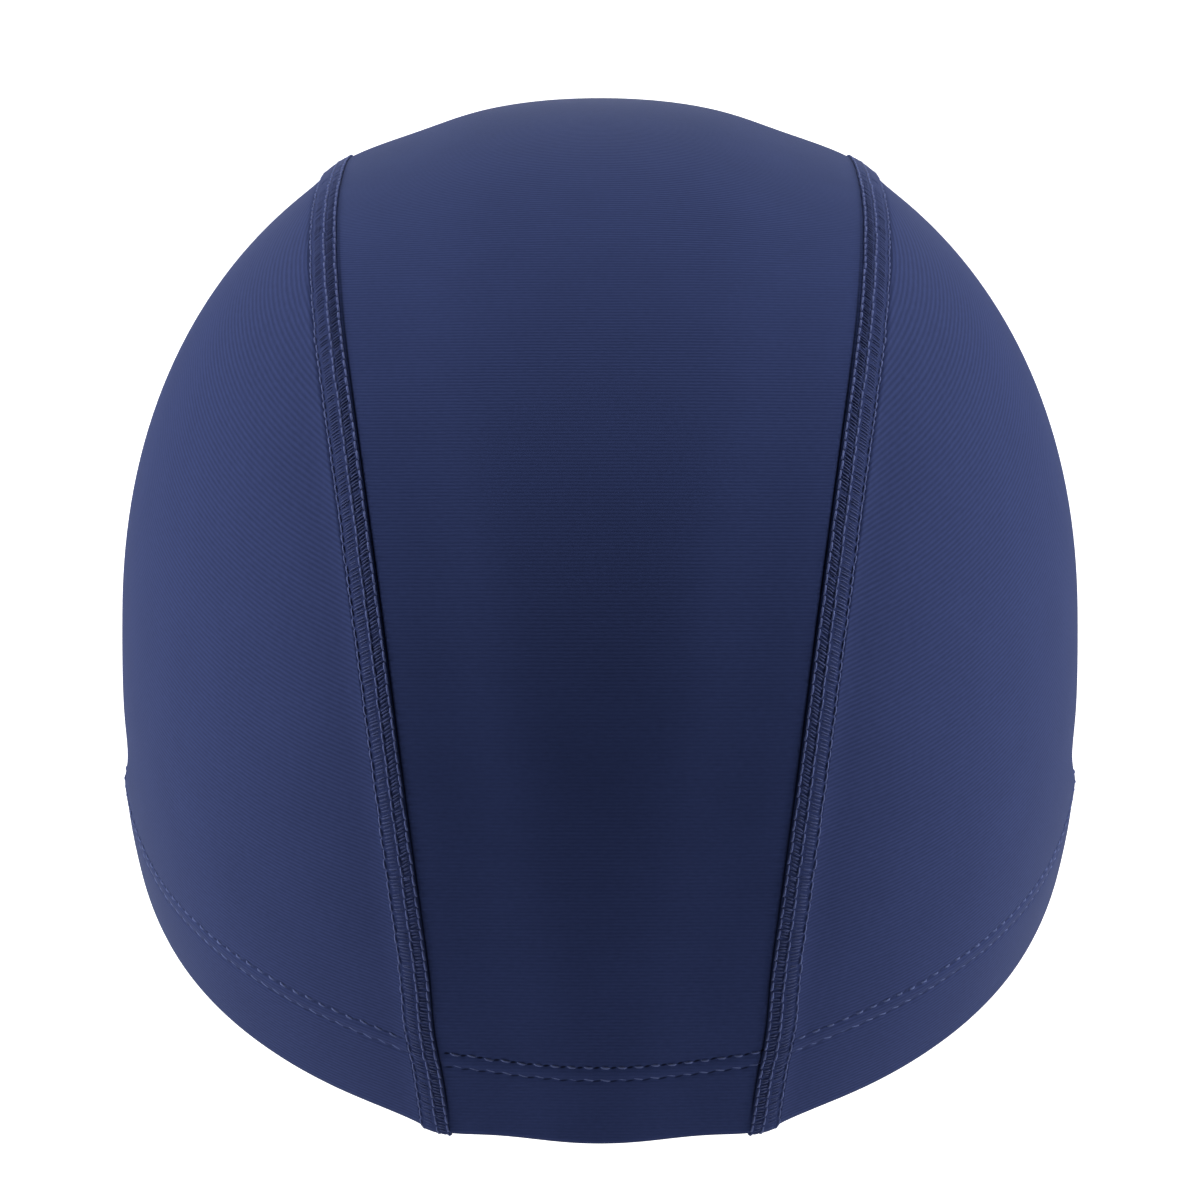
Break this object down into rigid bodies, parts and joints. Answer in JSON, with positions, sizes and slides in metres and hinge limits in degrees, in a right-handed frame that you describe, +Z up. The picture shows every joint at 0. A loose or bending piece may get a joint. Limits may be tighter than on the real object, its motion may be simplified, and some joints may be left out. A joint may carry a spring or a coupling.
{
  "type": "swim cap",
  "caption": "Stretch-knit swim cap in its worn shape: a centre panel over the crown, a panel each side, flat overlocked seams and a turned-up hem.",
  "frame": {"origin": "crown point of the cap's inner face, where it rests on the top of an upright head", "axes": "+Z up through the crown, +Y toward the brow, -Y toward the nape, +X toward the wearer's right"},
  "size_m": [0.1552, 0.1891, 0.1675],
  "materials": {
    "centre_knit": "smooth navy stretch knit, ribs across the panel",
    "side_knit": "smooth navy stretch knit, ribs along the hem",
    "seam_thread": "navy overlocking thread over knit"
  },
  "bodies": {
    "root": {"centre_panel": "centre_knit", "side_panel_left": "side_knit", "side_panel_right": "side_knit", "seam_left": "seam_thread", "seam_right": "seam_thread"}
  },
  "joints": []
}
